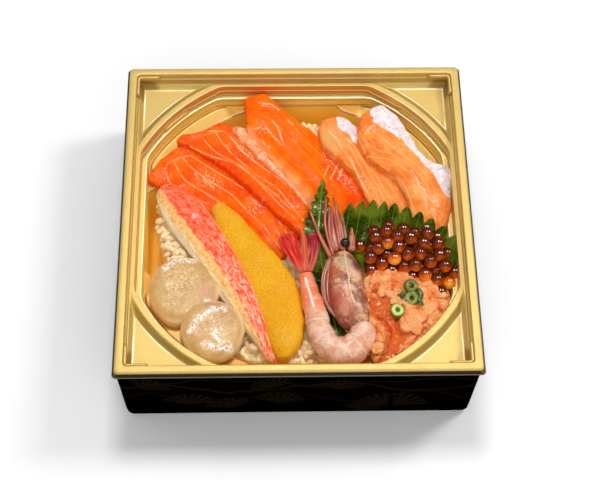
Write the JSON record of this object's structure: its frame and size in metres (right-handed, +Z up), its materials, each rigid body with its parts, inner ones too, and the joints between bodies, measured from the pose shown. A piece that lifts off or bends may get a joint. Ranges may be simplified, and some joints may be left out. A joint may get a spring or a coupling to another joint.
{
  "type": "seafood rice bowl",
  "caption": "Square takeaway box with a gold insert tray, filled with rice and topped with salmon slices, scallops, crab leg, roe, shrimp, minced salmon and leaves.",
  "frame": {"origin": "middle of the underside of the box", "axes": "+Z up, +Y towards the back edge, away from the diner, +X to the diner's right"},
  "size_m": [0.15, 0.15, 0.048],
  "materials": {
    "black_box": "satin black with a faint dark gold pine pattern",
    "gold_tray": "metallic gold, satin",
    "rice": "moist, translucent white",
    "leaf": "green leaf with pale veins",
    "shrimp": "wet, translucent pink",
    "minced_salmon": "wet, coarse, with green onion rings",
    "salmon_roe": "wet, translucent amber",
    "scallop": "wet, translucent cream",
    "crab": "moist, coral red with white fibres",
    "herring_roe": "fine grained yellow, moist",
    "salmon": "wet, orange with white fat lines",
    "salmon_pale": "wet, pale peach orange with a silver skin side"
  },
  "bodies": {
    "root": {"outer_box": "black_box", "gold_tray": "gold_tray", "rice": "rice", "shiso_large": "leaf", "shiso_small": "leaf", "sweet_shrimp": "shrimp", "minced_salmon": "minced_salmon", "salmon_roe": "salmon_roe", "scallop_front": "scallop", "scallop_back": "scallop", "crab_leg": "crab", "herring_roe": "herring_roe", "salmon_left_front": "salmon", "salmon_left_back": "salmon", "salmon_centre": "salmon", "salmon_right_back": "salmon_pale", "salmon_right_front": "salmon_pale"}
  },
  "joints": []
}
